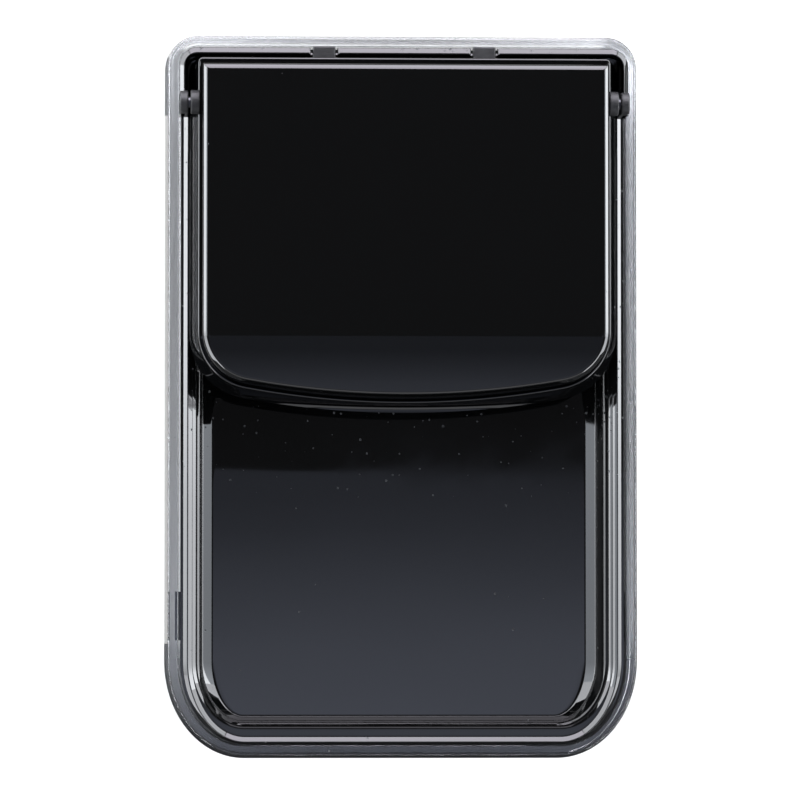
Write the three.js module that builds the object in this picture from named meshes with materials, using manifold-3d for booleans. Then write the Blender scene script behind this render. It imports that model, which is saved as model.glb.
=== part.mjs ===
// Clip dispenser. A clear tub holds a black tray that is a reservoir at the rear and an open dish
// at the front. A lid of two mouldings covers the reservoir and turns on two short pins near the
// rear corners. Millimetres, +Z up, +Y towards the rear, origin under the middle of the feet.
import * as THREE from "three";
import { mergeVertices } from "three/addons/utils/BufferGeometryUtils.js";
import Module from "manifold-3d";

const wasm = await Module();
wasm.setup();

// Clearances
const fit = 0.3; // between two mouldings that seat on or in each other
const runningFit = 0.06; // radial, round a pin

// Clear case
const caseWidth = 69;
const caseLength = 105.4;
const frontCornerAcross = 11.6; // half axes of the elliptical front corners in plan
const frontCornerAlong = 14.2;
const rearCorner = 4.8;
const caseWall = 2;
const caseFloor = 1.4;
const caseRimZ = 15.4;
const wallBow = 0.45; // how far the wall leans in again at the rim
const bottomEdge = 1.2;
const caseRimRound = 0.5; // outer edge of the rim
const caseRimInnerRound = 0.2;
const caseInnerRound = 1; // where the wall runs into the floor, inside
const smallestCorner = 0.6; // no corner gets tighter than this as an outline moves in

// Rubber feet
const footRadius = 4;
const footThickness = 1.1;
const footProud = 0.8;
const footInsetX = 10.5;
const footInsetY = 13;
const footEdge = 0.3;

// Black tray
const trayFloor = 1.4;
const trayWall = 0.95;
const trayEdge = 2.2; // rounding of the lower outer edge
const crestRise = 1.2; // crest over the rim of the case
const crestWidth = 1.55;
const crestRound = 0.7;
const crestLip = 0.2; // overhang over the rim of the case
const crestMiddle = 0.55; // where the crest is highest, as a share of its width
const ledgeDrop = 0.6; // the ledge under the crest
const ledgeWidth = 0.35;
const ledgeRound = 0.4; // where the ledge turns down into the inner wall
const wallLean = 0.8; // the inner wall leans in by this much on its way down
const cantRise = 1.15; // a canted strip joins the inner wall to the floor
const cantWidth = 1.75;
const cantFrontWidth = 0.6; // it is narrower across the front of the dish
const cantSoftening = 0.35;
const rampFrontY = 4; // under the lid the floor climbs from the dish to the reservoir
const rampRearY = 11;
const rampRise = 2.7;
const reservoirRise = 3.9;
const ribThickness = 1.2;
const ribHalfLength = 24;
const ribSpacing = 12;
const hookLength = 7.1;
const hookY = -32;
const hookZ = 7.5;
const hookHeight = 2.2;
const hookReach = 0.75;
const hookFace = 0.6; // upright face at the hook's tip

// Raised rear rim of the tray
const rearRimRise = 4.6; // over the crest
const rearRimSideWall = 0.75;
const rearRimBackWall = 0.95;
const rearRimCorner = 2.6;
const rearRimBevel = 0.55; // height of the outward bevel along its top
const rearRimCrown = 0.8; // where the bevel ends, as a share of its wall
const rearRimInset = 2; // from the side of the case
const rearRimBackInset = 2.6; // from the back of the case
const notchX = 11.6;
const notchWidth = 3.9;

// Lid
const lidHeightZ = 27; // top of the lid, the highest point
const lidFrontY = -2.6;
const lidFrontArc = 130;
const lidFrontCorner = 9.5;
const lidRearCorner = 1.9;
const lidRearGap = 0.4; // to the raised rear rim
const lidOverCrest = 0.2; // the skirt's lower edge clears the crest by this much
const frameHeight = 5.25;
const frameDeck = 1.2;
const frameLip = 0.5; // stands up round the cover
const frameLipWidth = 0.5;
const frameLipCrown = 0.7; // where the lip is highest, as a share of its width
const frameLipRound = 0.45;
const skirtDraft = 1.15;
const skirtRearDraft = 0.15;
const skirtWall = 1.5;
const skirtEdge = 0.2;
const coverWall = 1.35;
const coverGap = 0.15; // between the cover and the frame's lip
const coverRearStep = 0.7; // the gap is wider than that at the rear
const coverEdge = 1.2; // rounding of the cover's top edge
const lidFallY = 8; // in front of this line the lid's top falls
const lidFall = 3.3;
const lidFallLength = 9;
const lidCrease = 0.12; // slope with which the fall begins
const tabLength = 1.55;
const tabHeight = 1.4;
const tabUnderPin = 1.9;

// Hinge
const pinRadius = 0.8;
const pinChamfer = 0.15;
const pinEndGap = 0.1;
const pinFromRearRim = 7.15;
const pinOverRearRim = 0.8;
const earRadius = 1.6;
const earTop = 1.8; // over the pin's axis
const bossRadius = 1.75;
const lidOpening = 100; // degrees

// Magnet under the ramp
const magnetLength = 36;
const magnetWidth = 7;
const magnetThickness = 1.4;
const retainerThickness = 0.8;
const retainerPad = 2; // at each end of the magnet

// Fineness of the curves
const cornerSteps = 10;
const smallCornerSteps = 5;
const arcSteps = 9;
const filletSteps = 4;
const roundSteps = 3;
const roundSides = 24;

// Heights and places that follow from the sizes
const halfWidth = caseWidth / 2;
const halfLength = caseLength / 2;
const caseBottomZ = footProud;
const caseFloorZ = caseBottomZ + caseFloor;
const dishFloorZ = caseFloorZ + fit + trayFloor;
const crestZ = caseRimZ + crestRise;
const ledgeZ = crestZ - ledgeDrop;
const trayInset = caseWall + fit;
const ledgeInset = trayInset + crestWidth;
const wallTopInset = ledgeInset + ledgeWidth + ledgeRound;
const wallFootInset = wallTopInset + wallLean;
const flangeZ = caseRimZ + fit;
const rearRimZ = crestZ + rearRimRise;
const rearRimInnerX = halfWidth - rearRimInset - rearRimSideWall;
const rearRimInnerY = halfLength - rearRimBackInset - rearRimBackWall;
const lidHalfWidth = halfWidth - trayInset - crestWidth * crestMiddle - fit;
const lidRearY = rearRimInnerY - lidRearGap;
const skirtZ = crestZ + lidOverCrest;
const frameTopZ = skirtZ + frameHeight;
const deckZ = frameTopZ - frameLip;
const coverInset = skirtDraft + frameLipWidth + coverGap;
const coverBottomZ = deckZ + fit;
const pinY = rearRimInnerY - pinFromRearRim;
const pinZ = rearRimZ + pinOverRearRim;
const pocketX = halfWidth - trayInset - trayWall;
const earInnerX = pocketX;
const earOuterX = halfWidth - rearRimInset;

// The lid's tail, behind the pins, swings down into a pocket as the lid opens. The front end of the
// pocket stops it
const tailRadius = Math.hypot(lidRearY - pinY, pinZ - skirtZ);
const tailAngle = Math.atan2(pinZ - skirtZ, lidRearY - pinY);
const tailOpenAngle = tailAngle + THREE.MathUtils.degToRad(lidOpening);
const pocketFloorZ = pinZ - tailRadius - fit;
const pocketFrontY = pinY + tailRadius * Math.cos(tailOpenAngle) - fit;
const tabReach = lidRearY + tabLength - pinY;
const tabZ = pinZ - tabUnderPin;
const tabRadius = Math.hypot(tabReach, pinZ - tabZ + tabHeight / 2);
const notchFloorZ = pinZ - Math.sqrt(tabRadius ** 2 - pinFromRearRim ** 2) - fit;

// Height of the tray's floor at a place along the length
function floorZ(y) {
  const ramp = THREE.MathUtils.clamp((y - rampFrontY) / (rampRearY - rampFrontY), 0, 1);
  const rear = halfLength - trayInset;
  const climb = THREE.MathUtils.clamp((y - rampRearY) / (rear - rampRearY), 0, 1);
  return dishFloorZ + ramp * rampRise + climb * reservoirRise;
}

function undersideZ(y) {
  return floorZ(y) - trayFloor;
}

// How far the top of the lid has fallen at a place along the length
function lidDrop(y) {
  const share = Math.max(0, lidFallY - y) / lidFallLength;
  const straight = lidCrease * lidFallLength;
  return share * (straight + (lidFall - straight) * share);
}

// Places along the straight sides where every ring of the tray has a point
const straightFront = frontCornerAlong - halfLength + 1;
const straightRear = halfLength - rearCorner - 7;
const rampMiddleY = (rampFrontY + rampRearY) / 2;
const sideStations = [-24, -10, rampFrontY, rampMiddleY, rampRearY, 18, 26, 34]
  .filter((y) => y > straightFront && y < straightRear)
  .sort((a, b) => a - b);

// Points on an elliptical arc, its first and last angle in degrees
function arc(cx, cy, rx, ry, from, to, steps) {
  const points = [];
  for (let i = 0; i <= steps; i++) {
    const a = THREE.MathUtils.degToRad(from + ((to - from) * i) / steps);
    points.push([cx + rx * Math.cos(a), cy + ry * Math.sin(a)]);
  }
  return points;
}

// A right-hand half of an outline, front to rear, and its mirror image back to the front
function mirrored(half) {
  const left = half.map(([x, y]) => [-x, y]).reverse();
  return half.concat(left);
}

// Outline of the case, moved in by an inset, which may differ at the front
function caseOutline(inset, frontInset = inset) {
  const x = halfWidth - inset;
  const y = halfLength - inset;
  const across = Math.max(frontCornerAcross - inset, smallestCorner);
  const along = Math.max(frontCornerAlong - frontInset, smallestCorner);
  const rear = Math.max(rearCorner - inset, smallestCorner);
  const frontY = frontInset - halfLength;
  const front = arc(x - across, frontY + along, across, along, -90, 0, cornerSteps);
  const back = arc(x - rear, y - rear, rear, rear, 0, 90, smallCornerSteps);
  const sides = sideStations.map((s) => [x, s]);
  return mirrored([...front, ...sides, ...back]);
}

// Outline of the lid, moved in by an inset: a wide front arc that runs tangent into the front
// corners, straight sides, and small rear corners. At the rear the skirt has its own, smaller draft,
// and an outline can be stepped in farther
function lidOutline(inset, rearStep = 0) {
  const rearDraft = Math.min(inset, skirtDraft) * (skirtRearDraft / skirtDraft);
  const rearInset = rearDraft + Math.max(inset - skirtDraft, 0) + rearStep;
  const x = lidHalfWidth - inset;
  const cornerX = lidHalfWidth - lidFrontCorner;
  const arcY = lidFrontY + lidFrontArc;
  const cornerY = arcY - Math.sqrt((lidFrontArc - lidFrontCorner) ** 2 - cornerX ** 2);
  const turn = THREE.MathUtils.radToDeg(Math.atan2(cornerX, arcY - cornerY));
  const wide = lidFrontArc - inset;
  const tight = lidFrontCorner - inset;
  const rear = Math.max(lidRearCorner - inset, smallestCorner / 2);
  const first = turn / arcSteps / 2;
  const front = arc(0, arcY, wide, wide, -90 + first, -90 + turn, arcSteps);
  const corner = arc(cornerX, cornerY, tight, tight, -90 + turn, 0, cornerSteps).slice(1);
  const sides = [14, 24, 34, 42].map((s) => [x, s]);
  const backY = lidRearY - rearInset - rear;
  const back = arc(x - rear, backY, rear, rear, 0, 90, smallCornerSteps);
  return mirrored([...front, ...corner, ...sides, ...back]);
}

// Outline of the raised rear rim, moved in by a share of its wall. At the sides the share may pass
// 1, out to the flange. Its front end is cut off later
function rearRimOutline(share) {
  const x = halfWidth - rearRimInset - share * rearRimSideWall;
  const y = halfLength - rearRimBackInset - Math.min(share, 1) * rearRimBackWall;
  const corner = Math.max(rearRimCorner - share * rearRimSideWall, smallestCorner);
  const back = arc(x - corner, y - corner, corner, corner, 0, 90, smallCornerSteps);
  return mirrored([[x, 0], ...back]);
}

// A quarter round in a section, as pairs of inset and height. It leaves its first point level, or
// upright
function quarter(from, to, leaves, steps = roundSteps) {
  return arc(0, 0, 1, 1, 0, 90, steps).map(([c, s]) => {
    const across = leaves === "upright" ? 1 - c : s;
    const along = leaves === "upright" ? s : 1 - c;
    return [from[0] + (to[0] - from[0]) * across, from[1] + (to[1] - from[1]) * along];
  });
}

// The rings of a section round an outline, over a base that can change along the length
function rings(outlineAt, section, base = () => 0) {
  return section.map(([inset, z]) => outlineAt(inset).map(([x, y]) => [x, y, z + base(y)]));
}

function geometryFrom(levels, faces) {
  const geometry = new THREE.BufferGeometry();
  geometry.setAttribute("position", new THREE.Float32BufferAttribute(levels.flat(2), 3));
  geometry.setIndex(faces);
  return geometry;
}

function skinFaces(ringCount, count, closed) {
  const faces = [];
  for (let r = 0; r < ringCount - (closed ? 0 : 1); r++) {
    const low = r * count;
    const high = ((r + 1) % ringCount) * count;
    for (let i = 0; i < count; i++) {
      const j = (i + 1) % count;
      faces.push(low + i, low + j, high + j, low + i, high + j, high + i);
    }
  }
  return faces;
}

// Strips between each point of a ring and its mirror point, facing up or down
function ladder(start, count, up) {
  const faces = [];
  for (let k = 0; k < count / 2 - 1; k++) {
    const right = start + k;
    const left = start + count - 1 - k;
    const quad = [right, right + 1, left - 1, right, left - 1, left];
    faces.push(...(up ? quad : quad.reverse()));
  }
  return faces;
}

// A shell: the rings run from its underside over its rim, and both ends are closed
function shell(levels) {
  const count = levels[0].length;
  const faces = skinFaces(levels.length, count, false);
  faces.push(...ladder(0, count, false));
  faces.push(...ladder((levels.length - 1) * count, count, true));
  return solid(geometryFrom(levels, faces));
}

// A rim: the rings run round the section and the last joins the first
function rim(levels) {
  return solid(geometryFrom(levels, skinFaces(levels.length, levels[0].length, true)));
}

// three.js geometry to a solid that can be joined and cut
function solid(geometry) {
  const bare = geometry.clone();
  bare.deleteAttribute("normal");
  bare.deleteAttribute("uv");
  const merged = mergeVertices(bare, 1e-4);
  return new wasm.Manifold(
    new wasm.Mesh({
      numProp: 3,
      vertProperties: merged.attributes.position.array,
      triVerts: new Uint32Array(merged.index.array),
    }),
  );
}

function box(x0, x1, y0, y1, z0, z1) {
  const geometry = new THREE.BoxGeometry(x1 - x0, y1 - y0, z1 - z0);
  geometry.translate((x0 + x1) / 2, (y0 + y1) / 2, (z0 + z1) / 2);
  return solid(geometry);
}

// A round bar along X
function barX(radius, x0, x1, y, z) {
  const geometry = new THREE.CylinderGeometry(radius, radius, Math.abs(x1 - x0), roundSides);
  geometry.rotateZ(Math.PI / 2);
  geometry.translate((x0 + x1) / 2, y, z);
  return solid(geometry);
}

// A profile in the YZ plane, carried from x0 to x1
function extrudeX(profile, x0, x1) {
  const shape = new THREE.Shape(profile.map(([y, z]) => new THREE.Vector2(y, z)));
  const geometry = new THREE.ExtrudeGeometry(shape, {
    depth: x1 - x0,
    bevelEnabled: false,
  });
  geometry.applyMatrix4(new THREE.Matrix4().set(0, 0, 1, x0, 1, 0, 0, 0, 0, 1, 0, 0, 0, 0, 0, 1));
  return solid(geometry);
}

// A profile in the XZ plane, carried from y0 to y1
function extrudeY(profile, y0, y1) {
  const shape = new THREE.Shape(profile.map(([x, z]) => new THREE.Vector2(x, z)));
  const geometry = new THREE.ExtrudeGeometry(shape, {
    depth: y1 - y0,
    bevelEnabled: false,
  });
  geometry.rotateX(Math.PI / 2);
  geometry.translate(0, y1, 0);
  return solid(geometry);
}

const sidesOf = [-1, 1];
const footX = halfWidth - footInsetX;
const footY = halfLength - footInsetY;

// The hooks on the tray's flanks are wedges, flat on top, that snap into blind windows
function hookProfile(side, grow) {
  const root = halfWidth - trayInset - trayWall / 2;
  const tip = halfWidth - trayInset + hookReach + grow;
  const top = hookZ + hookHeight / 2 + grow;
  const low = hookZ - hookHeight / 2 - grow;
  const points = [
    [root, low],
    [tip, top - hookFace - grow],
    [tip, top],
    [root, top],
  ].map(([x, z]) => [side * x, z]);
  return side > 0 ? points : points.reverse();
}

// Clear case: a bowed tub with a rounded rim, foot recesses below and hook windows inside
function makeCase() {
  const middleZ = (caseRimZ + caseBottomZ) / 2;
  const bow = (z) => wallBow * ((z - middleZ) / (caseRimZ - middleZ)) ** 2;
  const edgeZ = caseBottomZ + bottomEdge;
  const shoulderZ = caseRimZ - caseRimRound;
  const rimOuterInset = bow(shoulderZ) + caseRimRound;
  const rimInnerInset = caseWall - caseRimInnerRound;
  const wall = [0.3, 0.5, 0.7].map((share) => {
    const z = caseBottomZ + share * (caseRimZ - caseBottomZ);
    return [bow(z), z];
  });
  const innerEdge = [caseWall + caseInnerRound, caseFloorZ];
  const section = [
    ...quarter([bow(caseBottomZ) + bottomEdge, caseBottomZ], [bow(edgeZ), edgeZ], "level"),
    ...wall,
    ...quarter([bow(shoulderZ), shoulderZ], [rimOuterInset, caseRimZ], "upright"),
    ...quarter([rimInnerInset, caseRimZ], [caseWall, caseRimZ - caseRimInnerRound], "level"),
    ...quarter([caseWall, caseFloorZ + caseInnerRound], innerEdge, "upright"),
  ];
  let body = shell(rings(caseOutline, section));
  for (const sx of sidesOf) {
    for (const sy of sidesOf) {
      const recess = new THREE.CylinderGeometry(
        footRadius + fit,
        footRadius + fit,
        2 * (footThickness - footProud + fit),
        roundSides,
      );
      recess.rotateX(Math.PI / 2);
      recess.translate(sx * footX, sy * footY, caseBottomZ);
      body = body.subtract(solid(recess));
    }
    const window = extrudeY(
      hookProfile(sx, fit),
      hookY - hookLength / 2 - fit,
      hookY + hookLength / 2 + fit,
    );
    body = body.subtract(window);
  }
  return body;
}

// Black tray: outer wall, crest, ledge, leaning inner wall, a canted strip and the floor
function makeTray() {
  const crestTop = [trayInset + crestWidth * crestMiddle, crestZ];
  const ledgeEdge = [ledgeInset + ledgeWidth, ledgeZ];
  const lower = quarter([trayInset + trayEdge, 0], [trayInset, trayEdge], "level");
  const upper = [
    [trayInset, flangeZ],
    ...quarter([trayInset - crestLip, crestZ - crestRound], crestTop, "upright"),
    ...quarter(crestTop, [ledgeInset, ledgeZ], "level").slice(1),
    ...quarter(ledgeEdge, [wallTopInset, ledgeZ - 2 * ledgeRound], "level"),
  ];
  const cant = [
    [wallFootInset, cantRise + cantSoftening],
    [wallFootInset + cantSoftening / 2, cantRise],
    [wallFootInset + cantWidth - cantSoftening, cantSoftening / 2],
    [wallFootInset + cantWidth, 0],
  ];
  const cantOutline = (inset) => {
    const share = (inset - wallFootInset) / cantWidth;
    return caseOutline(inset, wallFootInset + share * cantFrontWidth);
  };
  let body = shell([
    ...rings(caseOutline, lower, undersideZ),
    ...rings(caseOutline, upper),
    ...rings(cantOutline, cant, floorZ),
  ]);
  body = body.add(makeRearRim());
  body = body.subtract(
    box(-pocketX, pocketX, pocketFrontY, rearRimInnerY, pocketFloorZ, lidHeightZ),
  );
  for (const side of sidesOf) body = body.add(makeEar(side)).subtract(pinHole(side));
  for (const side of sidesOf) {
    const x = side * notchX;
    body = body.subtract(
      box(
        x - notchWidth / 2,
        x + notchWidth / 2,
        rearRimInnerY - 1,
        halfLength,
        notchFloorZ,
        lidHeightZ,
      ),
    );
    body = body.add(
      extrudeY(hookProfile(side, 0), hookY - hookLength / 2, hookY + hookLength / 2),
    );
  }
  return body.add(makeRibs());
}

// Raised rim round the rear of the lid. A flange joins it to the crest over the case's rim
function makeRearRim() {
  const flange = (halfWidth - rearRimInset - pocketX) / rearRimSideWall;
  const crown = [rearRimCrown, rearRimZ];
  const inside = [1, rearRimZ - rearRimBevel / 3];
  const section = [
    [flange, flangeZ],
    [0, flangeZ],
    [0, rearRimZ - rearRimBevel],
    ...quarter(crown, inside, "level"),
    [1, crestZ],
    [flange, crestZ],
  ];
  const front = box(-caseWidth, caseWidth, -1, pinY - earRadius, 0, lidHeightZ);
  return rim(rings(rearRimOutline, section)).subtract(front);
}

// Ear at the front end of the raised rim, with a round top about the pin
function makeEar(side) {
  const top = arc(pinY, pinZ + earTop - earRadius, earRadius, earRadius, 0, 180, 8);
  const profile = [[pinY - earRadius, flangeZ], [pinY + earRadius, flangeZ], ...top];
  const ends = side > 0 ? [earInnerX, earOuterX] : [-earOuterX, -earInnerX];
  return extrudeX(profile, ends[0], ends[1]);
}

function pinHole(side) {
  return barX(pinRadius + runningFit, side * pinEnd, side * (earOuterX + 1), pinY, pinZ);
}

// Ribs under the reservoir floor, down to the floor of the case. The front pair holds the magnet
function makeRibs() {
  const magnetRear = magnetFrontY + magnetWidth + 2 * fit + ribThickness;
  const places = [magnetFrontY - ribThickness, magnetRear - ribThickness];
  for (let y = magnetRear + ribSpacing; y < rearRimInnerY - 4; y += ribSpacing) places.push(y);
  return places
    .map((y) => {
      const top = undersideZ(y) + trayFloor / 2;
      return box(-ribHalfLength, ribHalfLength, y, y + ribThickness, caseFloorZ + fit, top);
    })
    .reduce((all, rib) => all.add(rib));
}

// Lid frame: a drafted skirt and a deck, a lip round the cover, pin bosses and two rear tabs
function makeLidFrame() {
  const fall = (y) => -lidDrop(y);
  const halfFall = (y) => -lidDrop(y) / 2;
  const middleZ = skirtZ + frameHeight / 2;
  const lipTop = [skirtDraft + frameLipWidth * frameLipCrown, frameTopZ];
  const lipZ = frameTopZ - frameLipRound;
  const lip = [
    ...quarter([skirtDraft, lipZ], lipTop, "upright"),
    ...quarter(lipTop, [skirtDraft + frameLipWidth, deckZ], "level").slice(1),
  ];
  const foot = [
    [skirtWall, skirtZ],
    ...quarter([skirtEdge, skirtZ], [0, skirtZ + skirtEdge], "level"),
  ];
  let body = shell([
    ...rings(lidOutline, [[skirtDraft + skirtWall, deckZ - frameDeck]], fall),
    ...rings(lidOutline, [[skirtDraft / 2 + skirtWall, middleZ]], halfFall),
    ...rings(lidOutline, foot),
    ...rings(lidOutline, [[skirtDraft / 2, middleZ]], halfFall),
    ...rings(lidOutline, lip, fall),
  ]);
  for (const side of sidesOf) {
    body = body.add(barX(bossRadius, side * bossInnerX, side * (earInnerX - fit), pinY, pinZ));
    body = body.subtract(pinHole(side));
    const x = side * notchX;
    const reach = notchWidth / 2 - fit;
    const root = lidRearY - skirtWall;
    const low = tabZ - tabHeight / 2;
    body = body.add(
      box(x - reach, x + reach, root, lidRearY + tabLength, low, low + tabHeight),
    );
  }
  return body;
}

// Lid cover: a cap with a rounded top edge and nearly square rear corners
function makeLidCover() {
  const inner = coverInset + coverWall;
  const edgeZ = lidHeightZ - coverEdge;
  const top = [coverInset + coverEdge, lidHeightZ];
  const section = [
    [inner, lidHeightZ - coverWall],
    [inner, coverBottomZ],
    [coverInset, coverBottomZ],
    ...quarter([coverInset, edgeZ], top, "upright", filletSteps),
  ];
  const outline = (inset) => lidOutline(inset, coverRearStep);
  return shell(rings(outline, section, (y) => -lidDrop(y)));
}

// Hinge pin: a steel pin with chamfered ends, fixed in its ear and running in the lid's boss
function makePin(side) {
  const length = earOuterX - pinEnd - 2 * pinEndGap;
  const profile = [
    [0, 0],
    [pinRadius - pinChamfer, 0],
    [pinRadius, pinChamfer],
    [pinRadius, length - pinChamfer],
    [pinRadius - pinChamfer, length],
    [0, length],
  ].map(([r, h]) => new THREE.Vector2(r, h));
  const geometry = new THREE.LatheGeometry(profile, roundSides);
  geometry.rotateZ(-side * (Math.PI / 2));
  geometry.translate(side * (pinEnd + pinEndGap), pinY, pinZ);
  return solid(geometry);
}

// Rubber foot: a disc with a rounded lower edge
function makeFoot(sx, sy) {
  const profile = [
    [0, 0],
    ...arc(footRadius - footEdge, footEdge, footEdge, footEdge, -90, 0, roundSteps),
    [footRadius, footThickness],
    [0, footThickness],
  ].map(([r, h]) => new THREE.Vector2(r, h));
  const geometry = new THREE.LatheGeometry(profile, roundSides);
  geometry.rotateX(Math.PI / 2);
  geometry.translate(sx * footX, sy * footY, 0);
  return solid(geometry);
}

const bossInnerX = lidHalfWidth - coverInset + fit;
const pinEnd = bossInnerX - pinEndGap;
const magnetFrontY = rampRearY + ribThickness;
const retainerZ = caseFloorZ + fit;
const magnetZ = retainerZ + retainerThickness + fit;

function makeMagnet() {
  return box(
    -magnetLength / 2,
    magnetLength / 2,
    magnetFrontY + fit,
    magnetFrontY + fit + magnetWidth,
    magnetZ,
    magnetZ + magnetThickness,
  );
}

// Retainer: a flat strip with two end pads that closes the magnet's pocket from below
function makeRetainer() {
  const half = magnetLength / 2 + retainerPad;
  const low = magnetFrontY + fit;
  const high = low + magnetWidth;
  const strip = box(-half, half, low, high, retainerZ, retainerZ + retainerThickness);
  const padTop = magnetZ + magnetThickness;
  return sidesOf.reduce((all, side) => {
    const ends = [side * (magnetLength / 2 + fit), side * half].sort((a, b) => a - b);
    return all.add(box(ends[0], ends[1], low, high, retainerZ, padTop));
  }, strip);
}

// Finishes
const clear = { color: 0x9aa0a6, roughness: 0.05, metalness: 0, transparent: true, opacity: 0.4 };
const glossBlack = { color: 0x0b0b0d, roughness: 0.08, metalness: 0 };
const satinBlack = { color: 0x141416, roughness: 0.35, metalness: 0 };
const steel = { color: 0xb8bac0, roughness: 0.3, metalness: 1 };
const ferrite = { color: 0x2c2d30, roughness: 0.6, metalness: 0.4 };
const rubber = { color: 0x1a1a1a, roughness: 0.9, metalness: 0 };

const model = new THREE.Group();

function place(name, body, finish) {
  const mesh = body.getMesh();
  const geometry = new THREE.BufferGeometry();
  geometry.setAttribute("position", new THREE.BufferAttribute(mesh.vertProperties, 3));
  geometry.setIndex(new THREE.BufferAttribute(mesh.triVerts, 1));
  geometry.computeVertexNormals();
  const piece = new THREE.Mesh(geometry, new THREE.MeshStandardMaterial(finish));
  piece.name = name;
  model.add(piece);
}

place("case_shell", makeCase(), clear);
place("inner_tray", makeTray(), glossBlack);
place("lid_frame", makeLidFrame(), glossBlack);
place("lid_cover", makeLidCover(), glossBlack);
place("hinge_pin_left", makePin(-1), steel);
place("hinge_pin_right", makePin(1), steel);
place("magnet_bar", makeMagnet(), ferrite);
place("magnet_retainer", makeRetainer(), satinBlack);
place("foot_front_left", makeFoot(-1, -1), rubber);
place("foot_front_right", makeFoot(1, -1), rubber);
place("foot_rear_left", makeFoot(-1, 1), rubber);
place("foot_rear_right", makeFoot(1, 1), rubber);

export default model;
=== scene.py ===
import bmesh
import bpy
import numpy as np
from mathutils import Matrix, Vector


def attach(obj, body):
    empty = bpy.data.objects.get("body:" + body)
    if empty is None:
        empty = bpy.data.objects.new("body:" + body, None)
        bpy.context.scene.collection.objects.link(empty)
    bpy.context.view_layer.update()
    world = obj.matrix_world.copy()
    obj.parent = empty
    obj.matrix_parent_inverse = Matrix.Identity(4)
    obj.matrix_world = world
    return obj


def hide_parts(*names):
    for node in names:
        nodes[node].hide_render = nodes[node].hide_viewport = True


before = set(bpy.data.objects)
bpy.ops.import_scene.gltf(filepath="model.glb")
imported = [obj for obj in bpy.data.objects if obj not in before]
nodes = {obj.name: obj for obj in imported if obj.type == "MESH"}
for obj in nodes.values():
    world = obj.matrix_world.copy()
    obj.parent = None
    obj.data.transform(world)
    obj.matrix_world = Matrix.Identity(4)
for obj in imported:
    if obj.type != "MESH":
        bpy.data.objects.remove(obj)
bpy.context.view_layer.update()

# Clear case
# The outer tub, one moulding of clear styrene: 2 mm walls that bow out at half height, a flat rim
# with rounded edges, and an underside left frosted from the mould. The tray snaps into it on two
# hooks, and four feet are set in its floor. Sizes of pieces are in millimetres.
HALF_WIDTH, HALF_LENGTH = 34.5, 52.7
CASE_WALL, CASE_BOTTOM_Z, CASE_FLOOR_Z, CASE_RIM_Z = 2.0, 0.8, 2.2, 15.4
WALL_BOW, BOTTOM_EDGE, RIM_ROUND, RIM_INNER_ROUND, INNER_ROUND = 0.45, 1.2, 0.5, 0.2, 1.0
FRONT_ACROSS, FRONT_ALONG, REAR_CORNER, LEAST_CORNER = 11.6, 14.2, 4.8, 0.6
FRONT_POINTS, REAR_POINTS = 44, 20
# A ring this far past a rounded edge keeps the face beyond it flat
HOLD, CLOSE_HOLD = 0.3, 0.05
# Points on the straight sides lie close together where the floor bends, at both ends of its ramp,
# and two lie in one place where the crest is cut off upright, at the front of the tail's pocket
RAMP_FRONT_Y, RAMP_REAR_Y, POCKET_FRONT_Y = 4.0, 11.0, 35.41
SIDE_FRONT_Y, BEND_REACH, BEND_STEP, POCKET_STEP = -37.5, 0.3, 0.8, 1.0
SIDE_STATIONS = np.concatenate([
    np.linspace(SIDE_FRONT_Y, RAMP_FRONT_Y - 2 * BEND_REACH, 14),
    np.linspace(RAMP_FRONT_Y - BEND_REACH, RAMP_FRONT_Y + BEND_REACH, 5),
    np.linspace(RAMP_FRONT_Y + BEND_STEP, RAMP_REAR_Y - BEND_STEP, 6),
    np.linspace(RAMP_REAR_Y - BEND_REACH, RAMP_REAR_Y + BEND_REACH, 5),
    np.linspace(RAMP_REAR_Y + POCKET_STEP, POCKET_FRONT_Y - POCKET_STEP, 12),
    [POCKET_FRONT_Y, POCKET_FRONT_Y],
    np.linspace(POCKET_FRONT_Y + POCKET_STEP, HALF_LENGTH - REAR_CORNER - 2 * BEND_REACH, 6),
])


def arc(cx, cy, rx, ry, first, last, count):
    """Points on an elliptical arc: the centre plus rx cos a across and ry sin a along."""
    a = np.radians(np.linspace(first, last, count))
    return np.stack([cx + rx * np.cos(a), cy + ry * np.sin(a)], axis=1)


def both_halves(right):
    """A closed outline: the right-hand half from front to rear, then its mirror image back."""
    return np.concatenate([right, right[::-1] * (-1, 1)])


def case_outline(inset, front_inset=None):
    """Outline of the case moved in by an inset, which may differ at the front: elliptical front
    corners, straight sides, round rear corners."""
    front_inset = inset if front_inset is None else front_inset
    x, y, front_y = HALF_WIDTH - inset, HALF_LENGTH - inset, front_inset - HALF_LENGTH
    across = max(FRONT_ACROSS - inset, LEAST_CORNER)
    along = max(FRONT_ALONG - front_inset, LEAST_CORNER)
    rear = max(REAR_CORNER - inset, LEAST_CORNER)
    front = arc(x - across, front_y + along, across, along, -90, 0, FRONT_POINTS)
    side = np.stack([np.full(len(SIDE_STATIONS), x), SIDE_STATIONS], axis=1)
    back = arc(x - rear, y - rear, rear, rear, 0, 90, REAR_POINTS)
    return both_halves(np.concatenate([front, side, back]))


def quarter(start, end, leaves, count=9):
    """A quarter round in a section, as (inset, height): one coordinate runs as the sine and the
    other as one minus the cosine, so that it leaves its start upright or level."""
    a = np.radians(np.linspace(0, 90, count))
    sine, rest = np.sin(a), 1 - np.cos(a)
    shares = (rest, sine) if leaves == "upright" else (sine, rest)
    start, end = np.array(start, float), np.array(end, float)
    return start + (end - start) * np.stack(shares, axis=1)


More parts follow.
